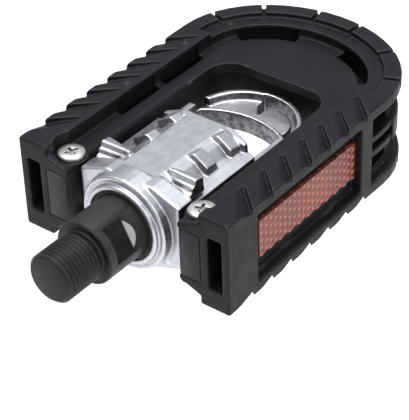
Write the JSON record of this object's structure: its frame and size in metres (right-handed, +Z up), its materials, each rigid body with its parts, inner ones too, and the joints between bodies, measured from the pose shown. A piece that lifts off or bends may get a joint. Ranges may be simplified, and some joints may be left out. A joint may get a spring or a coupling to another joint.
{
  "type": "flat pedal",
  "caption": "Folding flat pedal: moulded U-shaped cage with saw-tooth treads and side reflectors, hinged on a die-cast alloy body that turns on a threaded spindle.",
  "frame": {"origin": "centre of the flat end of the spindle's thread", "axes": "+Y along the spindle away from the crank, +Z up through the tread, X fore and aft"},
  "size_m": [0.069, 0.128, 0.0284],
  "materials": {
    "black_nylon": "satin moulded nylon",
    "cast_alloy": "polished die casting",
    "black_steel": "black coated steel",
    "bright_steel": "bright plated",
    "bearing_steel": "ground",
    "seal_rubber": "matt",
    "amber_lens": "clear prismatic lens"
  },
  "bodies": {
    "spindle": {"spindle": "black_steel", "outer_cone": "bearing_steel", "keyed_washer": "bright_steel", "lock_nut": "bright_steel"},
    "body": {"alloy_body": "cast_alloy", "seal_ring": "seal_rubber", "inner_cup": "bearing_steel", "outer_cup": "bearing_steel", "dust_cap": "black_nylon", "pivot_pin_front": "bright_steel", "pivot_pin_rear": "bright_steel", "inner_ball_1": "bearing_steel", "inner_ball_2": "bearing_steel", "inner_ball_3": "bearing_steel", "inner_ball_4": "bearing_steel", "inner_ball_5": "bearing_steel", "inner_ball_6": "bearing_steel", "inner_ball_7": "bearing_steel", "inner_ball_8": "bearing_steel", "outer_ball_1": "bearing_steel", "outer_ball_2": "bearing_steel", "outer_ball_3": "bearing_steel", "outer_ball_4": "bearing_steel", "outer_ball_5": "bearing_steel", "outer_ball_6": "bearing_steel", "outer_ball_7": "bearing_steel", "outer_ball_8": "bearing_steel"},
    "pivot_blocks": {"pivot_block_front": "black_steel", "pivot_block_rear": "black_steel"},
    "cage": {"cage": "black_nylon", "arm_insert_front": "black_nylon", "arm_insert_rear": "black_nylon", "screw_front": "bright_steel", "screw_rear": "bright_steel", "spring_front": "bright_steel", "spring_rear": "bright_steel", "reflector_lens_front": "amber_lens", "reflector_lens_rear": "amber_lens", "reflector_back_front": "black_nylon", "reflector_back_rear": "black_nylon"}
  },
  "joints": [
    {"name": "spin", "type": "hinge", "parent": "spindle", "child": "body", "pos_m": [0, 0.045, 0], "axis": [0, 1, 0], "continuous": true},
    {"name": "fold", "type": "hinge", "parent": "body", "child": "pivot_blocks", "pos_m": [0, 0.043, 0], "axis": [1, 0, 0], "range_deg": [-90, 90]},
    {"name": "draw_out", "type": "slide", "parent": "pivot_blocks", "child": "cage", "axis": [0, 1, 0], "range_m": [0, 0.004], "stiffness_N_per_m": 2500, "springref_m": -0.004, "deforming": ["spring_front", "spring_rear"]}
  ]
}
